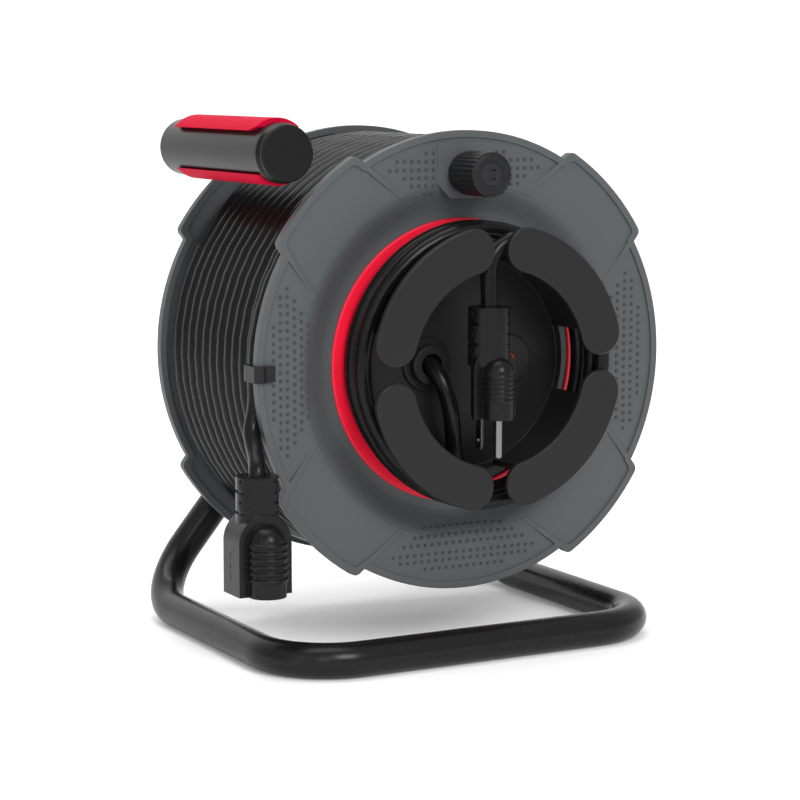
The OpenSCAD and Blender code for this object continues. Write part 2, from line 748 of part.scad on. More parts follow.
module rear_flange() color(plastic_grey) difference() {
    union() {
        translate([0, rear_y, 0]) mirror([0, 1, 0]) flange_blank(boss_r - 1);
        tube(boss_r, bush_out_r + touch, rear_web_y - web_t - 6, rear_boss_back);
        for (a = [0 : 45 : 315]) rotate([0, a, 0])
            translate([boss_r - 1, rear_web_y - 1, -1.5]) cube([34, 7, 3]);
    }
    rod(bush_out_r + touch, rear_web_y - 20, rear_boss_back + cut);
    rear_screw_places() rod(2 + touch, rear_web_y - 20, rear_web_y + cut);
}

module core_barrel() color(plastic_black) difference() {
    union() {
        tube(barrel_r, barrel_in_r, barrel_seat + touch, rear_y - barrel_seat - touch);
        tube(barrel_in_r + 0.5, cup_in_r + 2, seat_ring_y, seat_ring_y + seat_ring_t);
        rod(barrel_in_r + 0.5, bulkhead_y, bulkhead_y + bulkhead_t);
        tube(barrel_in_r + 0.5, rear_screw_r - 7, rear_web_y - web_t - touch - rear_ring_t,
            rear_web_y - web_t - touch);
        rod(boss_r, bulkhead_y, front_boss_back);
        for (a = [0 : 45 : 315]) rotate([0, a, 0])
            translate([-1.5, bulkhead_y + 1, boss_r - 1]) cube([3, 9, barrel_in_r - boss_r + 1.5]);
    }
    rod(bush_out_r + touch, bulkhead_y - cut, front_boss_back + cut);
    hub_screw_places() rod(1.6, seat_ring_y - cut, seat_ring_y + seat_ring_t + cut);
    rear_screw_places() rod(1.7, rear_web_y - web_t - rear_ring_t - cut, rear_web_y);
}

// The inner layers of cable, as one plain core under the outer layer
module winding_core() color(steel_black) {
    front = rim_t + gap;
    seat = barrel_seat + gap;
    turned([[barrel_r + 1 + gap, front], [core_fill_r, front], [core_fill_r, rear_y - front],
        [barrel_r + 1 + gap, rear_y - front], [barrel_r + 1 + gap, rear_y - seat],
        [barrel_r + touch, rear_y - seat], [barrel_r + touch, seat],
        [barrel_r + 1 + gap, seat]]);
}

module drum_winding() color(steel_black)
    cable_along(winding_path, cable_r, turn_sides, [-1, 0, 0]);

module front_bush() color("#e8e4d8") {
    tube(bush_out_r, bush_in_r, bulkhead_y + touch, front_boss_back);
}

module rear_bush() color("#e8e4d8") {
    tube(bush_out_r, bush_in_r, rear_web_y - web_t - 4, rear_boss_back - touch);
}

module hub_screw_places() for (a = [30 : 60 : 330]) translate(polar(hub_screw_r, a)) children();
module rear_screw_places() for (a = [0 : 60 : 300]) translate(polar(rear_screw_r, a)) children();

module hub_screws() color(bright_steel) hub_screw_places() {
    rod(1.5, hub_drop + 1.5, seat_ring_y + seat_ring_t + 0.5);
    rod(3.2, seat_ring_y + seat_ring_t + touch, seat_ring_y + seat_ring_t + 2.4);
}

module flange_screws() color(bright_steel) rear_screw_places() difference() {
    union() {
        rod(1.6, rear_web_y - web_t - 4, rear_web_y + 0.5);
        turned([[0, rear_web_y + touch], [4, rear_web_y + touch], [4, rear_web_y + 1.4],
            [2.6, rear_web_y + 2.6], [0, rear_web_y + 2.6]]);
    }
    for (a = [0, 90]) rotate([0, a, 0]) translate([-2.2, rear_web_y + 1.5, -0.5])
        cube([4.4, 3, 1]);
}

// ---------------------------------------------------------------- hub cup

module hub_cup() color(plastic_black) difference() {
    union() {
        tube(cup_out_r, cup_in_r, -plate_back, cup_rim_back);
        rod(cup_in_r + 1, 0, cup_floor);
        tube(cup_rim_r, cup_in_r + 1, cup_rim_front, cup_rim_back);
    }
    for (a = [0 : 90 : 270]) rotate([0, a, 0]) window_cut();
    translate([-gland_left, 0, 0]) rod(9 + touch, -cut, cup_floor + cut);
    translate([breaker_right, 0, 0]) rod(button_r + gap, -cut, cup_floor + cut);
    hub_screw_places() rod(1.6, cup_rim_front - cut, cup_rim_back + cut);
}

// One window, standing up the Z axis: its sides run to the hub's middle
module window_cut() {
    reach = cup_out_r + 10;
    slab(-plate_back - cut, -gap) polygon([[0, 0], [-reach * sin(window_angle / 2),
        reach * cos(window_angle / 2)], [0, reach], [reach * sin(window_angle / 2),
        reach * cos(window_angle / 2)]]);
}

module trim_ring() color(trim_red)
    turned([[trim_in_r, trim_front + 0.4], [trim_in_r + 0.4, trim_front],
        [trim_d / 2 - 0.8, trim_front], [trim_d / 2, trim_front + 0.8],
        [trim_d / 2, hub_drop - touch], [trim_in_r, hub_drop - touch]]);

// Half section of a plate's rounded end, and its full section, front edges chamfered
function plate_section(r0, r1) = [[r0, -plate_back], [r1, -plate_back],
    [r1, -cup_reach + plate_chamfer], [r1 - plate_chamfer, -cup_reach],
    [r0 + plate_chamfer, -cup_reach], [r0, -cup_reach + plate_chamfer]];

// A retaining plate: an arc with full round ends, between two gaps. The ends are a hair
// slimmer than the arc, so that no two faces coincide
module retainer(first) color(plastic_black) {
    sweep = 90 - 2 * plate_end_angle;
    end_r = plate_end_r - hair;
    rotate([0, first + plate_end_angle, 0]) rotate([-90, 0, 0]) rotate([0, 0, -90])
        rotate_extrude(angle = sweep) polygon(plate_section(plate_in_r, plate_out_r));
    for (a = [plate_end_angle, 90 - plate_end_angle])
        translate(polar(plate_mid_r, first + a)) turned([[0, -plate_back - hair],
            [end_r, -plate_back - hair], [end_r, -cup_reach + plate_chamfer],
            [end_r - plate_chamfer + hair, -cup_reach + hair], [0, -cup_reach + hair]]);
}

// ---------------------------------------------------------------- gland and breaker

module supply_gland() color(plastic_black) translate([-gland_left, 0, 0]) difference() {
    union() {
        turned([[0, -2], [gland_flange_r - 0.8, -2], [gland_flange_r, -1.2],
            [gland_flange_r, -touch], [0, -touch]]);
        turned([[0, -gland_front], [gland_collar_r - 1, -gland_front],
            [gland_collar_r, -gland_front + 1], [gland_collar_r, -1], [0, -1]]);
        rod(9, -1, cup_floor + 8);
    }
    rod(gland_bore_r, -gland_front - cut, cup_floor + 9);
}

module gland_nut() color(plastic_black) translate([-gland_left, 0, 0]) difference() {
    slab(cup_floor + touch, cup_floor + 6) circle(r = 13, $fn = 6);
    rod(9 + touch, cup_floor - cut, cup_floor + 7);
}

module at_breaker() {
    translate([breaker_right, 0, 0]) children();
}

module breaker_bezel() color(plastic_black) at_breaker() difference() {
    turned([[button_r + gap, -bezel_t + 0.6], [button_r + gap + 0.6, -bezel_t],
        [bezel_r - 1, -bezel_t], [bezel_r, -bezel_t + 1], [bezel_r, -touch],
        [button_r + gap, -touch]]);
}

module breaker_body() color(plastic_black) at_breaker() difference() {
    slab(cup_floor + touch, breaker_back) square([breaker_w, breaker_h], center = true);
    rod(button_r + gap, cup_floor - cut, cup_floor + 2.5);
    rod(stem_r + touch, cup_floor, cup_floor + 16);
}

module reset_button() color("#e8401c") at_breaker() {
    turned([[0, -button_front], [button_r - 1.2, -button_front], [button_r, -button_front + 1.2],
        [button_r, -button_back], [0, -button_back]]);
    rod(stem_r, -button_back - 0.5, stem_back);
}

// ---------------------------------------------------------------- crank knob

module crank_knob() color(plastic_black) at_knob() difference() {
    union() {
        turned([[0, knob_base_y], [knob_r - 1.2, knob_base_y], [knob_r - 0.6, -3],
            [knob_r - 1.6, -knob_h + 4], [knob_r - 1.6, -knob_h + 0.8],
            [knob_r - 2.2, -knob_h], [0, -knob_h]]);
        slab(-knob_h + 0.6, -knob_h * 0.16) knob_outline();
    }
    rod(spigot_r + knob_fit, spigot_front - 0.4, cut);
    rod(knob_recess_r, -knob_h - cut, spigot_front - 0.35);
}

module knob_outline() {
    for (i = [0 : knob_scallops - 1]) rotate(i * 360 / knob_scallops)
        translate([0, knob_r - scallop_r]) circle(r = scallop_r);
    circle(r = knob_r - scallop_r + 0.4);
}

module knob_screw() color(plastic_black) at_knob() difference() {
    union() {
        rod(knob_screw_r, spigot_front - 1, spigot_front + 15);
        turned([[0, -knob_h + touch], [knob_recess_r - head_gap - 0.2, -knob_h + touch],
            [knob_recess_r - head_gap, -knob_h + 0.3], [knob_recess_r - head_gap, spigot_front - 0.9],
            [spigot_r - 0.5, spigot_front - 0.9], [spigot_r - 0.5, spigot_front - touch],
            [0, spigot_front - touch]]);
    }
    // Two curved slots for a pin wrench
    for (a = [40, 220]) rotate([90, 0, 0]) rotate([0, 0, a]) rotate_extrude(angle = 100)
        translate([2.4, knob_h - 1.4]) square([1.4, 1.4 + cut]);
}

// ---------------------------------------------------------------- rim clip

// The clip holds the rim's face, runs over its edge and wraps the cable behind it
module clip_outline() {
    cable_y = winding_first_y;
    hold_r = cable_r + gap;
    edge = flange_r + gap;
    outer = max(edge, lift_r + hold_r) + clip_t;
    translate([flange_r - 11.5, -touch - clip_t]) square([outer - flange_r + 11.5, clip_t]);
    translate([outer - clip_t, -touch - clip_t]) square([clip_t, cable_y + touch + clip_t]);
    translate([outer, -touch - clip_t]) polygon([[0, 0.5], [-clip_fold, 0.5], [-clip_fold, 0],
        [-clip_fold + 0.8, -1], [-clip_fold + 2.2, -1.6], [-2.2, -1.6], [-0.8, -1], [0, 0]]);
    difference() {
        translate([lift_r, cable_y]) circle(r = outer - lift_r);
        translate([lift_r, cable_y]) circle(r = hold_r);
        translate([0, -cut]) square([lift_r, 40]);
        translate([0, -cut]) square([outer + cut, cable_y + cut]);
    }
}

module cable_clip() color(plastic_black) mirror([1, 0, 0])
    translate([0, 0, -clip_w / 2]) linear_extrude(clip_w) clip_outline();

// ---------------------------------------------------------------- cables and ends

module supply_lead() color(steel_black) cable_along(supply_lead_path, cable_r, 10);
module supply_coil() color(steel_black) cable_along(coil_path, cable_r, turn_sides, [1, 0, 0]);
module supply_tail() color(steel_black) cable_along(supply_tail_route, cable_r, 10);
module outlet_lead() color(steel_black) cable_along(outlet_route, cable_r, 10);

// The arched body of a plug or connector: width, depth and height, arch at the top
module arch_body(w, t, h) {
    translate([0, t, 0]) rotate([90, 0, 0]) linear_extrude(t) {
        translate([-w / 2, -h]) square([w, h - w / 2]);
        translate([0, -w / 2]) circle(r = w / 2);
    }
}

// A ribbed grip bulge with a domed top, standing on z = 0
module ribbed_bulge(r, h, ribs, first, step, rise) {
    cylinder(r = r, h = h - r);
    translate([0, 0, h - r]) sphere(r = r);
    for (i = [0 : ribs - 1]) translate([0, 0, first + i * step]) rotate_extrude()
        translate([r - 0.4, 0]) circle(r = rise + 0.4, $fn = 24);
}

// A collar that hangs down from z = 0, with grooves and windows that let it bend
module slotted_collar(r, h, slot_first) difference() {
    translate([0, 0, -h]) cylinder(r = r, h = h);
    for (i = [0 : 3]) translate([0, 0, -slot_first - i * slot_step]) {
        rotate([0, 0, -58]) rotate_extrude(angle = 88)
            translate([r - slot_deep, -slot_w / 2]) square([slot_deep + cut, slot_w]);
        if (i % 2 == 1) rotate([0, 0, 150]) rotate_extrude(angle = 60)
            translate([r - slot_deep, -slot_w / 2]) square([slot_deep + cut, slot_w]);
        else translate([-r, -0.24 * r, 0]) cube([2 * slot_deep, 2, 2], center = true);
    }
    translate([0, 0, -6]) cylinder(r = cable_r + touch, h = 6 + cut);
}

// A hooked finger mark in the side face at x = 0
module finger_mark() rotate([0, 90, 0]) rotate_extrude(angle = 150)
    translate([1.2, -0.6]) square([0.8, 1.2]);

module connector_body() color(plastic_black) translate(connector_at) {
    body_h = connector_len - connector_arch_drop;
    bulge_r = connector_bulge_d / 2;
    pin_y = -connector_face_forward - bulge_forward;
    difference() {
        union() {
            difference() {
                slotted_collar(collar_d / 2, connector_arch_drop + 10, connector_slot_first);
                translate([-collar_d, 0.7 - connector_face_forward - collar_d, -connector_len])
                    cube([2 * collar_d, collar_d, connector_len + cut]);
            }
            translate([0, -connector_face_forward, -connector_arch_drop])
                arch_body(connector_w, connector_t, body_h);
            translate([0, pin_y, -connector_len]) ribbed_bulge(bulge_r, body_h - 5.7, 6, 10.9, 4.2,
                rib_rise);
        }
        for (s = [-1, 1]) translate([s * blade_half_span - 1.2, pin_y + blade_back - 4.2,
            -connector_len - cut]) cube([2.4, 8.4, 20 + cut]);
        translate([0, pin_y, -connector_len - cut]) cylinder(r = pin_r + 0.55, h = 24 + cut);
        for (i = [0 : 2]) translate([-connector_w / 2, 0.5, 12 + 6.2 * i - connector_len])
            finger_mark();
        translate([0, 0, -6]) cylinder(r = cable_r + touch, h = 6 + cut);
    }
}

// Brass strips standing in the connector's slots
module connector_contacts() color("#c9a24b") translate(connector_at) {
    pin_y = -connector_face_forward - bulge_forward;
    for (s = [-1, 1]) translate([s * blade_half_span + 0.45 * s, pin_y + blade_back - 3.2,
        -connector_len + 5]) translate([-0.6, 0, 0]) cube([1.2, 6.4, 15 - touch]);
    translate([0, pin_y, -connector_len + 5]) difference() {
        cylinder(r = pin_r + 0.5, h = 19 - touch);
        translate([0, 0, -cut]) cylinder(r = pin_r + 0.1, h = 21);
    }
}

plug_pin_y = -plug_pin_forward;
plug_body_h = plug_len - plug_arch_drop;

module plug_body() color(plastic_black) translate(plug_at) difference() {
    union() {
        slotted_collar(collar_d / 2, plug_arch_drop + 8, plug_slot_first);
        translate([0, plug_pin_y + 4.2, plug_plate_up - plug_arch_drop])
            arch_body(plug_w, plug_t, plug_body_h + plug_plate_up);
        translate([0, plug_pin_y + 4.2 + plug_t - 1, -plug_arch_drop])
            arch_body(plug_core_w, plug_core_t, plug_body_h);
        translate([0, plug_pin_y, -plug_len])
            ribbed_bulge(plug_bulge_d / 2, plug_body_h - 2.3, 6, 11.9, 2.9, plug_rib_rise);
    }
    translate([0, 0, -6]) cylinder(r = cable_r + touch, h = 6 + cut);
    for (s = [-1, 1]) translate([s * blade_half_span - blade_t / 2 - touch,
        plug_pin_y + blade_back - blade_w / 2 - touch, -plug_len - cut])
        cube([blade_t + 2 * touch, blade_w + 2 * touch, 10 + cut]);
    translate([0, plug_pin_y, -plug_len - cut]) cylinder(r = pin_r + touch, h = 10 + cut);
}

module plug_blades() color(bright_steel) translate(plug_at) for (s = [-1, 1])
    translate([s * blade_half_span, plug_pin_y + blade_back, -plug_len]) difference() {
        translate([-blade_t / 2, -blade_w / 2, -blade_len])
            cube([blade_t, blade_w, blade_len + 10 - touch]);
        translate([-cut, 0, -blade_len + 5]) rotate([0, 90, 0]) cylinder(r = 1.6, h = 2 * cut);
        for (m = [-1, 1]) translate([-cut, m * blade_w / 2, -blade_len]) rotate([45, 0, 0])
            cube([2 * cut, 1.4, 1.4], center = false);
    }

module plug_ground_pin() color(bright_steel) translate(plug_at)
    translate([0, plug_pin_y, -plug_len]) {
        translate([0, 0, -pin_len + pin_r]) cylinder(r = pin_r, h = pin_len - pin_r + 10 - touch);
        translate([0, 0, -pin_len + pin_r]) sphere(r = pin_r);
    }

// ---------------------------------------------------------------- the reel

module placed() translate(home) children();

placed() frame_tube();
placed() grip_core();
placed() grip_pad_top();
placed() grip_pad_bottom();
placed() grip_cap();
placed() axle_plate();
placed() tube_saddles();
placed() saddle_bolts();
placed() axle();
placed() thrust_washer();
placed() axle_washer();
placed() axle_clip();
placed() outlet_lead();
placed() connector_body();
placed() connector_contacts();
placed() front_flange();
placed() rear_flange();
placed() core_barrel();
placed() winding_core();
placed() drum_winding();
placed() front_bush();
placed() rear_bush();
placed() flange_screws();
placed() hub_cup();
placed() hub_screws();
placed() trim_ring();
placed() retainer(0);  // retainer_upper_right
placed() retainer(90);  // retainer_lower_right
placed() retainer(180);  // retainer_lower_left
placed() retainer(270);  // retainer_upper_left
placed() supply_gland();
placed() gland_nut();
placed() breaker_bezel();
placed() breaker_body();
placed() reset_button();
placed() cable_clip();
placed() crank_knob();
placed() knob_screw();
placed() supply_lead();
placed() supply_coil();
placed() supply_tail();
placed() plug_body();
placed() plug_blades();
placed() plug_ground_pin();
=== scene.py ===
"""Looks of an extension cord reel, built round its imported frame.

Lengths in the classes are millimetres in the drum's own frame, as in the part's source: X to
the right, Y to the rear, Z up, the drum's axis at x = 0 and z = 0, and y = 0 at the front
face of the front rim. ``row`` turns them into metres in the row frame.
"""

import logging
import math
from dataclasses import dataclass, field
from enum import Enum
from typing import Callable, NamedTuple, Optional

import bmesh
import bpy
import numpy as np
from mathutils import Matrix, Vector

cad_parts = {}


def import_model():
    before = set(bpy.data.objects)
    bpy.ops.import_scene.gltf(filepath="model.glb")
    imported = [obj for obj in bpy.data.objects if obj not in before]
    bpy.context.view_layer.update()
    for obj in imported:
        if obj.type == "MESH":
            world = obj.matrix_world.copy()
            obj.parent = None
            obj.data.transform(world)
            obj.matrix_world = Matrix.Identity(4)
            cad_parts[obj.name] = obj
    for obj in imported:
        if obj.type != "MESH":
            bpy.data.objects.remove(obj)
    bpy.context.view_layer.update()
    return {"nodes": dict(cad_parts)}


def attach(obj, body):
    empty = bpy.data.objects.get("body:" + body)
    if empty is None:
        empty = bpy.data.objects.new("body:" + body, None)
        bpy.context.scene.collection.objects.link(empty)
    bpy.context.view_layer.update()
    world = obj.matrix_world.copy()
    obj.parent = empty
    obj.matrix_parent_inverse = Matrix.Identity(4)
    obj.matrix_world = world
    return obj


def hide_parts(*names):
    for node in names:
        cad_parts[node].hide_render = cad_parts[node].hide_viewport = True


LOG = logging.getLogger("cord_reel")
HOME = np.array([3.3, -73.425, 183.0])
CABLE_D = 10.4
LEAD_SIDES = 20
CABLE_SMOOTH = 60.0
DUST_COLOUR = (0.42, 0.41, 0.39, 1.0)
DUST_DULLING = 0.4
COAT_ROUGHNESS = 0.25
Array = np.ndarray


# ------------------------------------------------------------------ shared geometry


def row(points: Array) -> Array:
    """Turn drum-frame millimetres into row-frame metres.

    Args:
        points: one point or an array of points, in millimetres.

    Returns:
        The same points in metres, moved so that the reel stands on the floor.
    """
    return (np.asarray(points, dtype=float) + HOME) / 1000.0


def polar(radius: Array, clock: Array, y: Array) -> Array:
    """Points round the drum's axis: x = r sin a, z = r cos a, with a clockwise from the top.

    Args:
        radius: distance from the axis.
        clock: angle in degrees, seen from the front.
        y: distance behind the rim face.

    Returns:
        An array of points with one row per input value.
    """
    a = np.radians(clock)
    return np.stack(np.broadcast_arrays(radius * np.sin(a), y, radius * np.cos(a)), axis=-1)


def ease(t: Array) -> Array:
    """A step from 0 to 1 that starts and ends level: (1 - cos(pi t)) / 2, held outside 0..1."""
    return (1.0 - np.cos(np.pi * np.clip(t, 0.0, 1.0))) / 2.0


def smooth_route(points: list, per_step: int = 8) -> Array:
    """Run a Catmull-Rom curve through route points.

    Between two points it is the cubic whose slope at each is half the step from the point
    before to the point after.

    Args:
        points: the route's points.
        per_step: how many pieces each step is cut into.

    Returns:
        The curve's points, the last route point included.
    """
    p = np.asarray(points, dtype=float)
    ends = np.vstack([2 * p[0] - p[1], p, 2 * p[-1] - p[-2]])
    t = np.arange(per_step)[None, :, None] / per_step
    a, b, c, d = (ends[i : len(ends) - 3 + i][:, None, :] for i in range(4))
    curve = 0.5 * (2 * b + (c - a) * t + (2 * a - 5 * b + 4 * c - d) * t**2
                   + (3 * b - a - 3 * c + d) * t**3)
    return np.vstack([curve.reshape(-1, 3), p[-1:]])


def even_steps(path: Array, step: float) -> Array:
    """Lay points along a path at one spacing, by linear interpolation on its running length.

    Args:
        path: the path's points.
        step: the spacing wanted.

    Returns:
        Points on the path, its two ends kept.
    """
    run = np.concatenate([[0.0], np.cumsum(np.linalg.norm(np.diff(path, axis=0), axis=1))])
    at = np.linspace(0.0, run[-1], max(2, int(round(run[-1] / step)) + 1))
    return np.stack([np.interp(at, run, path[:, k]) for k in range(3)], axis=1)


def path_length(path: Array) -> float:
    """The sum of the steps between a path's points."""
    return float(np.linalg.norm(np.diff(path, axis=0), axis=1).sum())


@dataclass
class Surface:
    """A grid surface: points in rows, with a UV pair for each."""

    points: Array
    faces: Array
    uv: Optional[Array] = None


def grid_faces(rows: int, columns: int, closed: bool, flip: bool = False) -> Array:
    """Index the quads of a grid of points.

    Args:
        rows: number of rows of points.
        columns: number of points in a row.
        closed: whether the last column joins the first.
        flip: turn every face over.

    Returns:
        One row of four indices per quad.
    """
    i, j = np.meshgrid(np.arange(rows - 1), np.arange(columns if closed else columns - 1),
                       indexing="ij")
    k = (j + 1) % columns
    quads = np.stack([i * columns + j, i * columns + k, (i + 1) * columns + k,
                      (i + 1) * columns + j], axis=-1).reshape(-1, 4)
    return quads[:, ::-1] if flip else quads


def swept_tube(path: Array, radius: float, sides: int, square_to: Array) -> Surface:
    """Sweep a circle along a path: centre + r (cos b u + sin b v) at each of its points.

    u is the reference direction made square to the path, and v is square to both.

    Args:
        path: points of the centre line.
        radius: the tube's radius.
        sides: points round the tube.
        square_to: one reference direction, or one per point, never along the path.

    Returns:
        The tube's wall, with U round it and V along it in metres.
    """
    way = np.gradient(path, axis=0)
    way /= np.linalg.norm(way, axis=1)[:, None]
    ref = np.broadcast_to(np.asarray(square_to, dtype=float), path.shape)
    u = ref - (ref * way).sum(1)[:, None] * way
    u /= np.linalg.norm(u, axis=1)[:, None]
    v = np.cross(way, u)
    b = np.linspace(0, 2 * np.pi, sides, endpoint=False)[None, :, None]
    points = path[:, None, :] + radius * (np.cos(b) * u[:, None, :] + np.sin(b) * v[:, None, :])
    run = np.concatenate([[0.0], np.cumsum(np.linalg.norm(np.diff(path, axis=0), axis=1))])
    around = np.broadcast_to(np.arange(sides)[None, :] / sides, points.shape[:2])
    along = np.broadcast_to(run[:, None] / 1000.0, points.shape[:2])
    return Surface(points.reshape(-1, 3), grid_faces(len(path), sides, True, flip=True),
                   np.stack([around, along], axis=-1).reshape(-1, 2))


def make_piece(name: str, surfaces: list, smooth_angle: float = 40.0,
               caps: bool = True) -> bpy.types.Object:
    """Put surfaces into one mesh object at the origin, in row-frame metres.

    Args:
        name: the object's name.
        surfaces: the surfaces, in drum-frame millimetres.
        smooth_angle: faces that meet at less than this many degrees shade smoothly.
        caps: close open ends with a fan.

    Returns:
        The new object, linked to the scene.
    """
    starts = np.cumsum([0] + [len(s.points) for s in surfaces])
    points = row(np.vstack([s.points for s in surfaces]))
    faces = np.vstack([s.faces + k for s, k in zip(surfaces, starts)])
    mesh = bpy.data.meshes.new(name)
    mesh.from_pydata(points.tolist(), [], faces.tolist())
    if all(s.uv is not None for s in surfaces):
        uv = np.vstack([s.uv for s in surfaces])
        corner = np.empty(len(mesh.loops), dtype=np.int32)
        mesh.loops.foreach_get("vertex_index", corner)
        mesh.uv_layers.new(name="lay").data.foreach_set("uv", uv[corner].ravel())
    work = bmesh.new()
    work.from_mesh(mesh)
    bmesh.ops.remove_doubles(work, verts=work.verts, dist=1e-7)
    if caps:
        bmesh.ops.holes_fill(work, edges=work.edges, sides=0)
    bmesh.ops.recalc_face_normals(work, faces=work.faces)
    work.to_mesh(mesh)
    work.free()
    piece = bpy.data.objects.new(name, mesh)
    bpy.context.scene.collection.objects.link(piece)
    shade_smooth(piece, smooth_angle)
    return piece


def shade_smooth(piece: bpy.types.Object, angle: float) -> None:
    """Shade a mesh smoothly except across edges sharper than an angle in degrees."""
    mesh = piece.data
    mesh.polygons.foreach_set("use_smooth", np.ones(len(mesh.polygons), dtype=bool))
    mesh.set_sharp_from_angle(angle=math.radians(angle))


def dress(piece: bpy.types.Object, material: bpy.types.Material) -> None:
    """Give a piece one material in place of any that it has."""
    piece.data.materials.clear()
    piece.data.materials.append(material)


# ------------------------------------------------------------------ finishes


class Nodes:
    """A small helper that adds nodes to a tree and wires them."""

    def __init__(self, tree: bpy.types.NodeTree) -> None:
        """Keep the tree that nodes go into."""
        self.tree = tree

    def add(self, kind: str, **values) -> bpy.types.Node:
        """Add a node and set its properties.

        Args:
            kind: the node's type name, without its ShaderNode prefix.
            **values: properties of the node.

        Returns:
            The node.
        """
        prefix = "" if kind.startswith("NodeGroup") else "ShaderNode"
        node = self.tree.nodes.new(prefix + kind)
        for key, value in values.items():
            setattr(node, key, value)
        return node

    def wire(self, source, target) -> None:
        """Join an output socket to an input socket, or set the input to a plain value."""
        if isinstance(source, bpy.types.NodeSocket):
            self.tree.links.new(source, target)
        else:
            target.default_value = source

    def maths(self, operation: str, *terms, clamp: bool = False):
        """Work out one Math node and return its output socket.

        Args:
            operation: the node's operation.
            *terms: sockets or numbers.
            clamp: hold the result between 0 and 1.

        Returns:
            The result's socket.
        """
        node = self.add("Math", operation=operation, use_clamp=clamp)
        for term, target in zip(terms, node.inputs):
            self.wire(term, target)
        return node.outputs[0]

    def noise(self, vector, scale: float, detail: float = 3.0, roughness: float = 0.55):
        """A noise texture's factor output at a scale in waves per metre."""
        node = self.add("TexNoise")
        self.wire(vector, node.inputs["Vector"])
        node.inputs["Scale"].default_value = scale
        node.inputs["Detail"].default_value = detail
        node.inputs["Roughness"].default_value = roughness
        return node.outputs["Fac"]


def new_group(name: str, inputs: dict, outputs: dict) -> tuple:
    """Start a shader node group with named sockets.

    Args:
        name: the group's name.
        inputs: socket name to its default number.
        outputs: socket name to its socket type.

    Returns:
        The group, a helper on it, and its input and output nodes.
    """
    group = bpy.data.node_groups.new(name, "ShaderNodeTree")
    for label, value in inputs.items():
        socket = group.interface.new_socket(label, in_out="INPUT", socket_type="NodeSocketFloat")
        socket.default_value = value
    for label, kind in outputs.items():
        group.interface.new_socket(label, in_out="OUTPUT", socket_type=kind)
    nodes = Nodes(group)
    return group, nodes, nodes.add("NodeGroupInput"), nodes.add("NodeGroupOutput")


def moulded_grain() -> bpy.types.ShaderNodeTree:
    """Fine moulded grain with broad, faint flow marks, as a height and a tone.

    Inputs are the grain's waves per metre and the share of flow marks in the tone.

    Returns:
        The node group.
    """
    group, n, start, end = new_group(
        "moulded_grain", {"Grain scale": 2600.0, "Flow share": 0.4},
        {"Height": "NodeSocketFloat", "Tone": "NodeSocketFloat"})
    flow_scale, flow_detail, flow_roughness = 22.0, 4.0, 0.6
    where = n.add("TexCoord").outputs["Object"]
    fine = n.add("TexNoise")
    n.wire(where, fine.inputs["Vector"])
    n.wire(start.outputs["Grain scale"], fine.inputs["Scale"])
    fine.inputs["Detail"].default_value = 2.0
    flow = n.noise(where, flow_scale, flow_detail, flow_roughness)
    share = start.outputs["Flow share"]
    tone = n.maths("ADD", n.maths("MULTIPLY", flow, share),
                   n.maths("MULTIPLY", fine.outputs["Fac"],
                           n.maths("SUBTRACT", 1.0, share)))
    n.wire(fine.outputs["Fac"], end.inputs["Height"])
    n.wire(tone, end.inputs["Tone"])
    return group


def rubbed_edges() -> bpy.types.ShaderNodeTree:
    """A mask of outer edges, from how far a rounded normal leans off the true one.

    The mask is broken up by noise, as wear is. The rounded normal comes out too.

    Returns:
        The node group.
    """
    group, n, start, end = new_group(
        "rubbed_edges", {"Radius": 0.0006, "Amount": 1.0},
        {"Mask": "NodeSocketFloat", "Normal": "NodeSocketVector"})
    lean_gain, contrast, floor = 7.0, 2.6, 0.8
    chip_scale, chip_detail, chip_roughness = 260.0, 5.0, 0.7
    bevel = n.add("Bevel", samples=6)
    n.wire(start.outputs["Radius"], bevel.inputs["Radius"])
    geometry = n.add("NewGeometry")
    dot = n.add("VectorMath", operation="DOT_PRODUCT")
    n.wire(bevel.outputs["Normal"], dot.inputs[0])
    n.wire(geometry.outputs["Normal"], dot.inputs[1])
    lean = n.maths("MULTIPLY", n.maths("SUBTRACT", 1.0, dot.outputs["Value"]), lean_gain,
                   clamp=True)
    broken = n.noise(n.add("TexCoord").outputs["Object"], chip_scale, chip_detail,
                     chip_roughness)
    chips = n.maths("SUBTRACT", n.maths("MULTIPLY", broken, contrast), floor, clamp=True)
    mask = n.maths("MULTIPLY", lean, n.maths("MULTIPLY", chips, start.outputs["Amount"]),
                   clamp=True)
    n.wire(mask, end.inputs["Mask"])
    n.wire(bevel.outputs["Normal"], end.inputs["Normal"])
    return group


def settled_dust() -> bpy.types.ShaderNodeTree:
    """A thin film of dust on faces that look up, broken by noise, as a mask.

    Returns:
        The node group.
    """
    group, n, start, end = new_group("settled_dust", {"Amount": 0.2},
                                     {"Mask": "NodeSocketFloat"})
    side_share, up_gain = 0.15, 0.8
    patch_scale, patch_detail, patch_roughness = 45.0, 6.0, 0.65
    split = n.add("SeparateXYZ")
    n.wire(n.add("NewGeometry").outputs["Normal"], split.inputs[0])
    up = n.maths("MULTIPLY", n.maths("ADD", split.outputs["Z"], side_share), up_gain, clamp=True)
    patches = n.noise(n.add("TexCoord").outputs["Object"], patch_scale, patch_detail,
                      patch_roughness)
    mask = n.maths("MULTIPLY", n.maths("MULTIPLY", up, patches), start.outputs["Amount"],
                   clamp=True)
    n.wire(mask, end.inputs["Mask"])
    return group


GROUPS: dict = {}


def shared_group(build: Callable[[], bpy.types.ShaderNodeTree]) -> bpy.types.ShaderNodeTree:
    """Build a node group the first time it is asked for, and hand out the same one later."""
    if build.__name__ not in GROUPS:
        GROUPS[build.__name__] = build()
    return GROUPS[build.__name__]


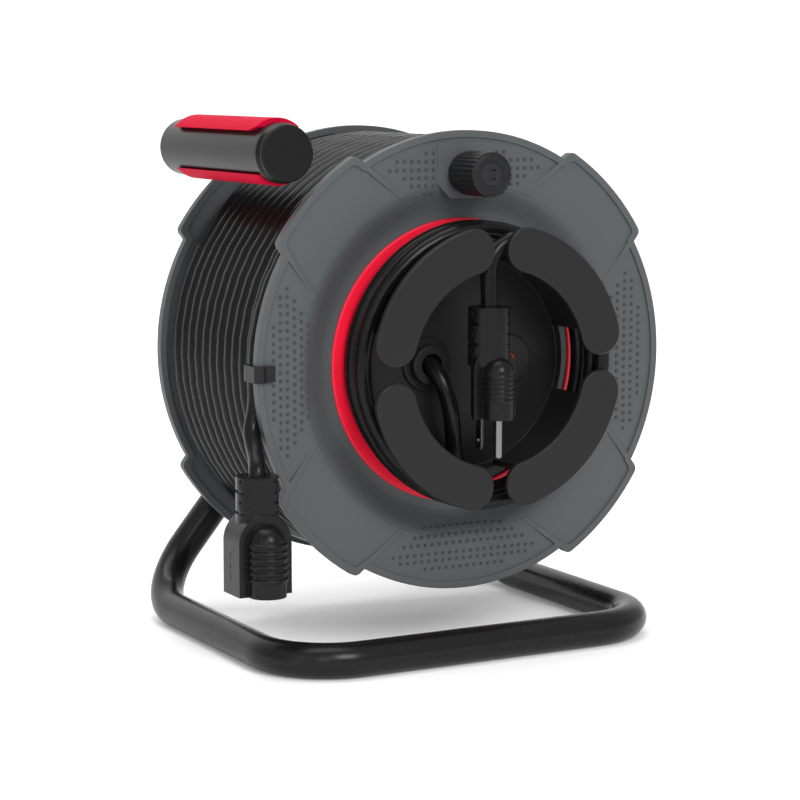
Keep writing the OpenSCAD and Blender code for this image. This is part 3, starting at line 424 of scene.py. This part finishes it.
@dataclass(frozen=True)
class Moulded:
    """A moulded plastic, rubber or painted finish with grain, rubbed edges and dust.

    Colours are linear. ``grain`` is in waves per metre and ``grain_depth`` in metres.
    """

    name: str
    colour: tuple
    worn_colour: tuple
    roughness: float
    roughness_swing: float = 0.08
    grain: float = 2600.0
    grain_depth: float = 0.00002
    tone_swing: float = 0.12
    edge_radius: float = 0.0006
    edge_wear: float = 0.35
    dust: float = 0.12
    specular: float = 0.5
    metallic: float = 0.0
    coat: float = 0.0

    def build(self) -> bpy.types.Material:
        """Make the material.

        Returns:
            The material, ready to put on a piece.
        """
        material = bpy.data.materials.new(self.name)
        material.use_nodes = True
        material.node_tree.nodes.clear()
        n = Nodes(material.node_tree)
        shader = n.add("BsdfPrincipled")
        n.wire(shader.outputs[0], n.add("OutputMaterial").inputs["Surface"])
        grain = n.add("Group", node_tree=shared_group(moulded_grain))
        grain.inputs["Grain scale"].default_value = self.grain
        edges = n.add("Group", node_tree=shared_group(rubbed_edges))
        edges.inputs["Radius"].default_value = self.edge_radius
        edges.inputs["Amount"].default_value = self.edge_wear
        dust = n.add("Group", node_tree=shared_group(settled_dust))
        dust.inputs["Amount"].default_value = self.dust
        tone = n.add("Mix", data_type="RGBA", blend_type="MIX")
        n.wire(grain.outputs["Tone"], tone.inputs["Factor"])
        n.wire(self.shade(1 - self.tone_swing), tone.inputs["A"])
        n.wire(self.shade(1 + self.tone_swing), tone.inputs["B"])
        worn = n.add("Mix", data_type="RGBA", blend_type="MIX")
        n.wire(edges.outputs["Mask"], worn.inputs["Factor"])
        n.wire(tone.outputs["Result"], worn.inputs["A"])
        n.wire((*self.worn_colour, 1.0), worn.inputs["B"])
        dusty = n.add("Mix", data_type="RGBA", blend_type="MIX")
        n.wire(dust.outputs["Mask"], dusty.inputs["Factor"])
        n.wire(worn.outputs["Result"], dusty.inputs["A"])
        n.wire(DUST_COLOUR, dusty.inputs["B"])
        n.wire(dusty.outputs["Result"], shader.inputs["Base Color"])
        swing = n.maths("MULTIPLY", n.maths("SUBTRACT", grain.outputs["Tone"], 0.5),
                        2 * self.roughness_swing)
        n.wire(n.maths("ADD", n.maths("ADD", swing, self.roughness),
                       n.maths("MULTIPLY", dust.outputs["Mask"], DUST_DULLING), clamp=True),
               shader.inputs["Roughness"])
        bump = n.add("Bump")
        bump.inputs["Distance"].default_value = self.grain_depth
        bump.inputs["Strength"].default_value = 1.0
        n.wire(grain.outputs["Height"], bump.inputs["Height"])
        n.wire(edges.outputs["Normal"], bump.inputs["Normal"])
        n.wire(bump.outputs["Normal"], shader.inputs["Normal"])
        shader.inputs["Specular IOR Level"].default_value = self.specular
        shader.inputs["Metallic"].default_value = self.metallic
        shader.inputs["Coat Weight"].default_value = self.coat
        shader.inputs["Coat Roughness"].default_value = COAT_ROUGHNESS
        return material

    def shade(self, factor: float) -> tuple:
        """The finish's colour, lighter or darker by a factor."""
        return (*(min(1.0, c * factor) for c in self.colour), 1.0)


class Finish(Enum):
    """Every finish of the reel, by the record's material slot that it stands for."""

    TUBE = Moulded("satin_black_tube", (0.0065, 0.0065, 0.007), (0.03, 0.03, 0.031), 0.26,
                   grain=900.0, grain_depth=0.00003, edge_radius=0.0004, edge_wear=0.1,
                   dust=0.01, specular=0.22)
    GREY = Moulded("grey_flange_plastic", (0.066, 0.0715, 0.0755), (0.12, 0.125, 0.13), 0.5,
                   grain=3200.0, grain_depth=0.00002, tone_swing=0.06, edge_radius=0.0008,
                   edge_wear=0.2, dust=0.02, specular=0.4)
    # A darker copy of the grey flange plastic: painted shade for the little shadows round the
    # studs.
    STUD_PAINTED_SHADE = Moulded("grey_stud_painted_shade", (0.038, 0.041, 0.0435), (0.07, 0.075, 0.08), 0.55,
                   grain=3200.0, grain_depth=0.00002, edge_radius=0.0003, edge_wear=0.1,
                   dust=0.015, specular=0.35)
    BLACK = Moulded("black_cup_plastic", (0.0095, 0.0095, 0.0105), (0.03, 0.03, 0.032), 0.38,
                    edge_radius=0.0009, edge_wear=0.25, dust=0.01, specular=0.22)
    PLATE = Moulded("black_plate_plastic", (0.011, 0.0108, 0.0112), (0.06, 0.06, 0.062), 0.4,
                    edge_radius=0.0009, edge_wear=0.3, dust=0.008, specular=0.22)
    CABLE = Moulded("black_cable_jacket", (0.005, 0.005, 0.0055), (0.02, 0.02, 0.021), 0.26,
                    grain=1400.0, grain_depth=0.000015, edge_radius=0.0003, edge_wear=0.0,
                    dust=0.006, specular=0.17)
    RUBBER = Moulded("black_plug_rubber", (0.0055, 0.0055, 0.006), (0.03, 0.03, 0.031), 0.27,
                     grain=3000.0, grain_depth=0.00001, edge_radius=0.001, edge_wear=0.12,
                     dust=0.006, specular=0.18)
    GRIP_HARD = Moulded("grip_black_plastic", (0.006, 0.006, 0.0065), (0.03, 0.03, 0.031), 0.3,
                        grain=2800.0, grain_depth=0.00002, edge_radius=0.0008, edge_wear=0.15,
                        dust=0.006, specular=0.18)
    GRIP_SOFT = Moulded("grip_red_rubber", (0.52, 0.002, 0.028), (0.62, 0.012, 0.045), 0.62,
                        grain=3400.0, grain_depth=0.00003, tone_swing=0.05,
                        edge_radius=0.0006, edge_wear=0.1, dust=0.002, specular=0.04)
    TRIM_RED = Moulded("red_trim_plastic", (0.84, 0.008, 0.036), (0.88, 0.04, 0.07), 0.35,
                       grain_depth=0.00001, tone_swing=0.04, edge_radius=0.0005,
                       edge_wear=0.15, dust=0.01, specular=0.35)
    BUTTON = Moulded("reset_orange_plastic", (0.78, 0.09, 0.02), (0.85, 0.2, 0.08), 0.3,
                     grain_depth=0.00001, tone_swing=0.04, edge_wear=0.2, dust=0.01)
    ZINC = Moulded("zinc_plated_steel", (0.55, 0.55, 0.54), (0.75, 0.75, 0.74), 0.36,
                   metallic=1.0, grain=1500.0, edge_radius=0.0004, dust=0.04)
    AXLE = Moulded("turned_axle_steel", (0.45, 0.45, 0.45), (0.7, 0.7, 0.7), 0.3,
                   metallic=1.0, grain=1800.0, edge_radius=0.0004, dust=0.02)
    NICKEL = Moulded("nickel_plated_pins", (0.2, 0.2, 0.205), (0.4, 0.38, 0.35), 0.24,
                     metallic=1.0, grain=1200.0, grain_depth=0.00001, edge_radius=0.0003,
                     edge_wear=0.2, dust=0.02)
    BRASS = Moulded("contact_brass", (0.72, 0.5, 0.2), (0.85, 0.68, 0.4), 0.3, metallic=1.0,
                    grain=1500.0, grain_depth=0.00001, edge_radius=0.0003, dust=0.02)
    BUSH = Moulded("bush_plastic", (0.72, 0.7, 0.62), (0.8, 0.78, 0.72), 0.4)
    SCREW = Moulded("black_screw_steel", (0.03, 0.03, 0.032), (0.2, 0.2, 0.2), 0.38,
                    metallic=0.8, grain=1500.0, edge_radius=0.0003, edge_wear=0.4, dust=0.03)


MADE: dict = {}


def finish(which: Finish) -> bpy.types.Material:
    """Make a finish's material the first time it is asked for.

    Args:
        which: the finish.

    Returns:
        Its material.
    """
    if which not in MADE:
        MADE[which] = which.value.build()
    return MADE[which]


# ------------------------------------------------------------------ studio


class Panel(NamedTuple):
    """One soft lamp: where it hangs, its two sides and its aim in metres, its power in watts."""

    name: str
    place: tuple
    size: tuple
    power: float
    aim: tuple = (0.0, 0.0, 0.17)


@dataclass
class Studio:
    """Camera, floor and soft lights.

    The camera's sizes are in millimetres and degrees, the floor's and the lamps' in metres.
    """

    azimuth: float = -28.44
    elevation: float = 7.71
    distance: float = 1518.7
    lens: float = 109.85
    roll: float = 0.03
    target: tuple = (-46.97, 0.0, -21.45)
    sky: float = 0.6
    floor_glow: float = 0.12
    floor_front: float = -3.0
    floor_half_w: float = 5.0
    bend_start: float = 1.6
    bend_r: float = 1.2
    bend_steps: int = 24
    backdrop_h: float = 4.5
    panels: tuple = (
        Panel("top_panel", (-0.3, 0.1, 2.2), (1.6, 1.6), 20.0),
        Panel("left_panel", (-1.7, -0.9, 0.7), (0.3, 1.6), 2.5),
        Panel("front_panel", (-0.1, -1.9, 1.3), (0.8, 0.8), 24.0),
        Panel("key_panel", (-1.15, -1.77, 0.85), (0.3, 0.9), 4.0),
        Panel("back_panel", (0.0, 0.9, 2.3), (2.4, 0.6), 26.0, (0.0, 2.7, 0.6)))

    def camera(self) -> bpy.types.Object:
        """Set the camera low at the front left, for the three-quarter view.

        Returns:
            The camera object.
        """
        az, el = math.radians(self.azimuth), math.radians(self.elevation)
        back = np.array([math.sin(az) * math.cos(el), -math.cos(az) * math.cos(el),
                         math.sin(el)])
        place = Vector(row(np.array(self.target) + self.distance * back))
        data = bpy.data.cameras.new("camera")
        data.lens = self.lens
        data.sensor_width = 36.0
        data.clip_start = 0.05
        data.clip_end = 20.0
        camera = bpy.data.objects.new("camera", data)
        bpy.context.scene.collection.objects.link(camera)
        aim = (Vector(row(self.target)) - place).to_track_quat("-Z", "Y").to_matrix()
        turn = Matrix.Rotation(math.radians(self.roll), 3, "Z")
        camera.matrix_world = Matrix.Translation(place) @ (aim @ turn).to_4x4()
        bpy.context.scene.camera = camera
        return camera

    def floor(self) -> bpy.types.Object:
        """A pale floor that curves up into a backdrop, as one profile carried sideways.

        Returns:
            The floor.
        """
        bend = np.linspace(0, np.pi / 2, self.bend_steps)
        back = self.bend_start + self.bend_r
        y = np.concatenate([[self.floor_front], self.bend_start + self.bend_r * np.sin(bend),
                            [back]])
        z = np.concatenate([[0.0], self.bend_r * (1 - np.cos(bend)), [self.backdrop_h]])
        x = np.array([-self.floor_half_w, self.floor_half_w])
        points = np.stack([np.repeat(x[None, :], len(y), 0), np.repeat(y[:, None], 2, 1),
                           np.repeat(z[:, None], 2, 1)], axis=-1).reshape(-1, 3)
        mesh = bpy.data.meshes.new("floor")
        mesh.from_pydata(points.tolist(), [], grid_faces(len(y), 2, False).tolist())
        mesh.polygons.foreach_set("use_smooth", np.ones(len(mesh.polygons), dtype=bool))
        floor = bpy.data.objects.new("floor", mesh)
        bpy.context.scene.collection.objects.link(floor)
        material = bpy.data.materials.new("pale_floor")
        material.use_nodes = True
        shader = material.node_tree.nodes["Principled BSDF"]
        shader.inputs["Base Color"].default_value = (0.96, 0.96, 0.96, 1.0)
        shader.inputs["Roughness"].default_value = 0.8
        shader.inputs["Emission Color"].default_value = (1.0, 1.0, 1.0, 1.0)
        shader.inputs["Emission Strength"].default_value = self.floor_glow
        mesh.materials.append(material)
        return floor

    def lamp(self, panel: Panel) -> bpy.types.Object:
        """Hang one soft panel.

        Args:
            panel: the lamp's name, place, size, power and aim.

        Returns:
            The lamp.
        """
        data = bpy.data.lights.new(panel.name, "AREA")
        data.shape = "RECTANGLE"
        data.size, data.size_y = panel.size
        data.energy = panel.power
        lamp = bpy.data.objects.new(panel.name, data)
        bpy.context.scene.collection.objects.link(lamp)
        lamp.location = panel.place
        lamp.rotation_euler = (Vector(panel.aim) - Vector(panel.place)).to_track_quat(
            "-Z", "Y").to_euler()
        return lamp

    def lights(self) -> None:
        """A pale sky, soft panels above, in front and at the left, and one for the backdrop."""
        world = bpy.data.worlds.new("pale_sky")
        world.use_nodes = True
        sky = world.node_tree.nodes["Background"]
        sky.inputs["Color"].default_value = (1.0, 1.0, 1.0, 1.0)
        sky.inputs["Strength"].default_value = self.sky
        bpy.context.scene.world = world
        for panel in self.panels:
            self.lamp(panel)
        bpy.context.scene.view_settings.view_transform = "Standard"

    def build(self) -> None:
        """Set up camera, floor and lights."""
        self.camera()
        self.floor()
        self.lights()
        LOG.info("studio ready")


# ------------------------------------------------------------------ cables


@dataclass
class WoundCable:
    """The cable on the drum: three layers of turns and the end held by the rim clip."""

    outer_r: float = 136.3
    layer_step: float = 9.9
    first_y: float = 11.5
    last_y: float = 142.3
    outer_turns: float = 11.75
    inner_turns: float = 11.75
    cross_turns: float = 0.25
    lift_r: float = 140.3
    lift_turns: float = 0.2
    unevenness: float = 0.08
    sway_rate: float = 0.37
    sway_start: float = 1.1
    swell_rate: float = 1.31
    settle: float = 0.1
    clip_reach: float = 10.4
    rings_per_turn: int = 48
    sides: int = 12

    def path(self) -> Array:
        """The cable's line, from the barrel at the rear out to the clip.

        The radius steps up at each flange, and y runs between the flanges at an even lay:
        both are read off a table of turns, and the angle falls evenly. Away from its ends the
        line wanders by ``unevenness``, at two rates per turn, and lies ``settle`` deeper.

        Returns:
            Points of the centre line.
        """
        ins, gap = self.inner_turns, self.cross_turns
        stops = np.cumsum([0, ins, gap, ins, gap, self.outer_turns])
        y_at = [self.last_y, self.first_y, self.first_y, self.last_y, self.last_y,
                self.first_y]
        r_in, r_mid = self.outer_r - 2 * self.layer_step, self.outer_r - self.layer_step
        r_at = [r_in, r_in, r_mid, r_mid, self.outer_r, self.outer_r]
        total = stops[-1]
        t = np.linspace(0, total, int(round(total * self.rings_per_turn)) + 1)
        lift = ease(1 - (total - t) / self.lift_turns)
        free = ease((total - t) * 2) * ease(t * 2)
        sway = np.sin(2 * np.pi * t * self.sway_rate + self.sway_start)
        swell = np.sin(2 * np.pi * t * self.swell_rate)
        y = np.interp(t, stops, y_at) + free * self.unevenness * sway
        r = np.interp(t, stops, r_at) + (self.lift_r - self.outer_r) * lift
        r = r + free * self.unevenness * swell - self.settle * free
        line = polar(r, 270 + 360 * (total - t), y)
        end = np.array([[-self.lift_r, self.first_y, -self.clip_reach]])
        return np.vstack([line, end])

    def build(self) -> bpy.types.Object:
        """Returns:
            The cable, riding on the drum in place of its CAD layer and core.
        """
        path = self.path()
        outward = path * np.array([1.0, 0.0, 1.0])
        cable = make_piece("wound_cable", [swept_tube(path, CABLE_D / 2, self.sides, outward)],
                           CABLE_SMOOTH)
        dress(cable, finish(Finish.CABLE))
        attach(cable, "drum")
        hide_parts("drum_winding", "winding_core")
        at = row(path)
        LOG.info("wound_cable: %.1f m in %d rings", path_length(at), len(path))
        return cable


@dataclass
class OutletLead:
    """The free end that comes forward from the rim clip and hangs to the connector."""

    route: list = field(default_factory=lambda: [
        [-140.3, 11.5, -10.5], [-140.3, 11.5, -16], [-140.7, 11.5, -21.5],
        [-141.8, 11.4, -27], [-143.3, 10.9, -32], [-144.7, 9, -37], [-145.3, 5.6, -42],
        [-146, 1.2, -47], [-147.3, -3.6, -51], [-148.9, -7.6, -54.6], [-149.8, -9.7, -58.4],
        [-149.9, -10, -61.6], [-149.9, -10, -65.6], [-149.9, -10, -72]])
    ring_step: float = 2.0

    def build(self, connector: bpy.types.Object) -> bpy.types.Object:
        """Args:
            connector: the connector on its end; not used.

        Returns:
            The lead, riding on the frame.
        """
        path = even_steps(smooth_route(self.route), self.ring_step)
        lead = make_piece("outlet_cable",
                          [swept_tube(path, CABLE_D / 2, LEAD_SIDES, [1, 0, 0])],
                          CABLE_SMOOTH)
        dress(lead, finish(Finish.CABLE))
        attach(lead, "frame")
        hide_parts("outlet_lead")
        at = row(path)
        LOG.info("outlet_cable: %.3f m", path_length(at))
        return lead


@dataclass
class SupplyLead:
    """The supply cable: out of the gland, round the hub under the plates, and to the plug."""

    out_route: list = field(default_factory=lambda: [
        [-29, 1, 2], [-28.6, -5, 0.5], [-27.5, -10.5, -3.5], [-25.5, -15, -10],
        [-23, -17.5, -19], [-20.8, -18, -29], [-18.8, -16.8, -39], [-16.6, -14.2, -49],
        [-13.4, -11, -59], [-8.4, -8.2, -68.4], [-1.6, -6.9, -75.4], [6.2, -6.6, -80],
        [14.2, -6.6, -82.2]])
    tail_route: list = field(default_factory=lambda: [
        [22.4, -35, 77.4], [16, -35.2, 78.6], [9.8, -35.3, 77.8], [4.1, -35.3, 75],
        [-0.5, -35.3, 70.4], [-3.4, -35.4, 64.6], [-4.4, -35.6, 58.2], [-4.5, -36, 51],
        [-4.5, -36.5, 43], [-4.5, -36.5, 32.1], [-4.5, -36.5, 24]])
    coil_lie: list = field(default_factory=lambda: [
        -6, -8, -6, 1, -17, -23.5, -19, -11, -28.5, -35, -34.5, -34.5])
    coil_r: float = 82.0
    coil_oval: float = 2.8
    coil_start: float = 0.05
    coil_end: float = 2.4333
    run_in: float = 0.2
    points_per_turn: int = 48
    ring_step: float = 3.0
    square_to: tuple = (1.0, 1.0, 0.9)

    def coil(self) -> Array:
        """The turns round the hub: y eases between its values at the quarter turns.

        They are a little taller than wide, until the last fifth of a turn runs in.

        Returns:
            Points of the coil's centre line.
        """
        t = np.linspace(self.coil_start, self.coil_end,
                        int(self.points_per_turn * (self.coil_end - self.coil_start)) + 1)
        q = 4 * t
        i = np.floor(q).astype(int)
        lie = np.array(self.coil_lie, dtype=float)
        y = lie[i] + (lie[i + 1] - lie[i]) * ease(q - i)
        taper = np.minimum(1.0, (self.coil_end - t) / self.run_in)
        r = self.coil_r + self.coil_oval * np.cos(4 * np.pi * t) * taper
        return polar(r, 180 - 360 * t, y)

    def build(self, plug: bpy.types.Object, pieces: list) -> bpy.types.Object:
        """Args:
            plug: the plug on its end; not used.
            pieces: the plug's own loose pieces; not used.

        Returns:
            The cable, riding on the drum.
        """
        coil = self.coil()
        whole = np.vstack([smooth_route(self.out_route), coil[:-1],
                           smooth_route(self.tail_route)])
        path = even_steps(whole, self.ring_step)
        lead = make_piece("supply_cable",
                          [swept_tube(path, CABLE_D / 2, LEAD_SIDES, self.square_to)],
                          CABLE_SMOOTH)
        dress(lead, finish(Finish.CABLE))
        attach(lead, "drum")
        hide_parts("supply_lead", "supply_coil", "supply_tail")
        at = row(path)
        LOG.info("supply_cable: %.3f m", path_length(at))
        return lead


# ------------------------------------------------------------------ flange studs


@dataclass
class FlangeStuds:
    """Four fields of small square studs on the front flange's panels, in a darker grey that is
    painted shade.

    Each row is (distance from the axis, studs in the row). The left and right fields stand
    on end.
    """

    side: float = 2.4
    top_side: float = 1.7
    rise: float = 0.5
    sink: float = 0.6
    pitch: float = 5.1
    dish_from: float = 93.0
    dish_to: float = 116.0
    panel_y: float = 1.3
    hub_y: float = 9.6
    shield_half_w: float = 21.5
    clip_keep: tuple = (131.0, 7.5)
    fields: dict = field(default_factory=lambda: {
        0: [(131.0, 12), (125.9, 20), (120.7, 22), (115.7, 18), (110.9, 16), (106.0, 12)],
        90: [(131.0, 12), (125.5, 19), (120.2, 21), (114.8, 18), (109.6, 15), (104.5, 12)],
        180: [(131.0, 12), (126.0, 19), (121.5, 21), (115.5, 18), (110.5, 15), (105.5, 12)],
        270: [(133.1, 12), (128.4, 19), (123.9, 21), (119.1, 18), (114.4, 15), (109.5, 12)]})

    def face_y(self, r: Array) -> Array:
        """The flange's front face at a radius: flat outside, easing down into the dish."""
        t = np.clip((self.dish_to - r) / (self.dish_to - self.dish_from), 0.0, 1.0)
        return self.panel_y + (self.hub_y - self.panel_y) * ease(t)

    def places(self) -> Array:
        """Where the studs stand, as rows of x and z.

        Studs under the crank's shield and under the rim clip are left out.

        Returns:
            One row per stud.
        """
        out = []
        for clock, rows in self.fields.items():
            a = math.radians(clock)
            for far, count in rows:
                along = (np.arange(count) - (count - 1) / 2) * self.pitch
                if clock == 0:
                    along = along[np.abs(along) > self.shield_half_w]
                if clock == 270 and far > self.clip_keep[0]:
                    along = along[np.abs(along) > self.clip_keep[1]]
                out.append(np.stack([far * math.sin(a) + along * math.cos(a),
                                     far * math.cos(a) - along * math.sin(a)], axis=-1))
        return np.vstack(out)

    def build(self) -> bpy.types.Object:
        """Make every stud as a low, blunt pyramid standing on the flange's face.

        Returns:
            The studs, riding on the drum.
        """
        at = self.places()
        y = self.face_y(np.hypot(at[:, 0], at[:, 1]))
        square = np.array([[-1, -1], [1, -1], [1, 1], [-1, 1]]) / 2.0
        foot = np.stack([at[:, None, 0] + square[:, 0] * self.side,
                         np.broadcast_to((y + self.sink)[:, None], (len(at), 4)),
                         at[:, None, 1] + square[:, 1] * self.side], axis=-1)
        head = np.stack([at[:, None, 0] + square[:, 0] * self.top_side,
                         np.broadcast_to((y - self.rise)[:, None], (len(at), 4)),
                         at[:, None, 1] + square[:, 1] * self.top_side], axis=-1)
        points = np.concatenate([foot, head], axis=1).reshape(-1, 3)
        wall = np.array([[0, 1, 5, 4], [1, 2, 6, 5], [2, 3, 7, 6], [3, 0, 4, 7], [4, 5, 6, 7],
                         [3, 2, 1, 0]])
        faces = (wall[None] + 8 * np.arange(len(at))[:, None, None]).reshape(-1, 4)
        studs = make_piece("flange_studs", [Surface(points, faces)], 30, caps=False)
        # The studs' darker grey is painted shade, standing in for the shadows round them.
        dress(studs, finish(Finish.STUD_PAINTED_SHADE))
        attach(studs, "drum")
        LOG.info("flange_studs: %d", len(at))
        return studs


# ------------------------------------------------------------------ frame nodes


CAD_FINISH: dict = {
    Finish.TUBE: ["frame_tube", "axle_plate"],
    Finish.GREY: ["front_flange", "rear_flange"],
    Finish.BLACK: ["core_barrel", "hub_cup", "supply_gland", "gland_nut", "breaker_bezel",
                   "breaker_body", "cable_clip", "crank_knob"],
    Finish.PLATE: ["retainer_upper_right", "retainer_lower_right", "retainer_lower_left",
                   "retainer_upper_left"],
    Finish.RUBBER: ["connector_body", "plug_body"],
    Finish.GRIP_HARD: ["grip_core", "grip_cap"],
    Finish.GRIP_SOFT: ["grip_pad_top", "grip_pad_bottom"],
    Finish.TRIM_RED: ["trim_ring"],
    Finish.BUTTON: ["reset_button"],
    Finish.ZINC: ["tube_saddles", "saddle_bolts", "thrust_washer", "axle_washer", "axle_clip",
                  "flange_screws", "hub_screws"],
    Finish.AXLE: ["axle"],
    Finish.NICKEL: ["plug_blades", "plug_ground_pin"],
    Finish.BRASS: ["connector_contacts"],
    Finish.BUSH: ["front_bush", "rear_bush"],
    Finish.SCREW: ["knob_screw"],
}


def dress_frame(nodes: dict) -> None:
    """Give every CAD node that stays its finish.

    Args:
        nodes: node name to its object.
    """
    for which, names in CAD_FINISH.items():
        for name in names:
            dress(nodes[name], finish(which))
            LOG.info("%s: %s", name, which.value.name)


def main() -> None:
    """Build the looks of the reel in order."""
    logging.basicConfig(level=logging.INFO, format="%(message)s")
    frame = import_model()
    nodes = frame["nodes"]
    Studio().build()
    OutletLead().build(nodes["connector_body"])
    SupplyLead().build(nodes["plug_body"], [nodes["plug_blades"], nodes["plug_ground_pin"]])
    WoundCable().build()
    FlangeStuds().build()
    dress_frame(nodes)


if __name__ == "__main__":
    main()
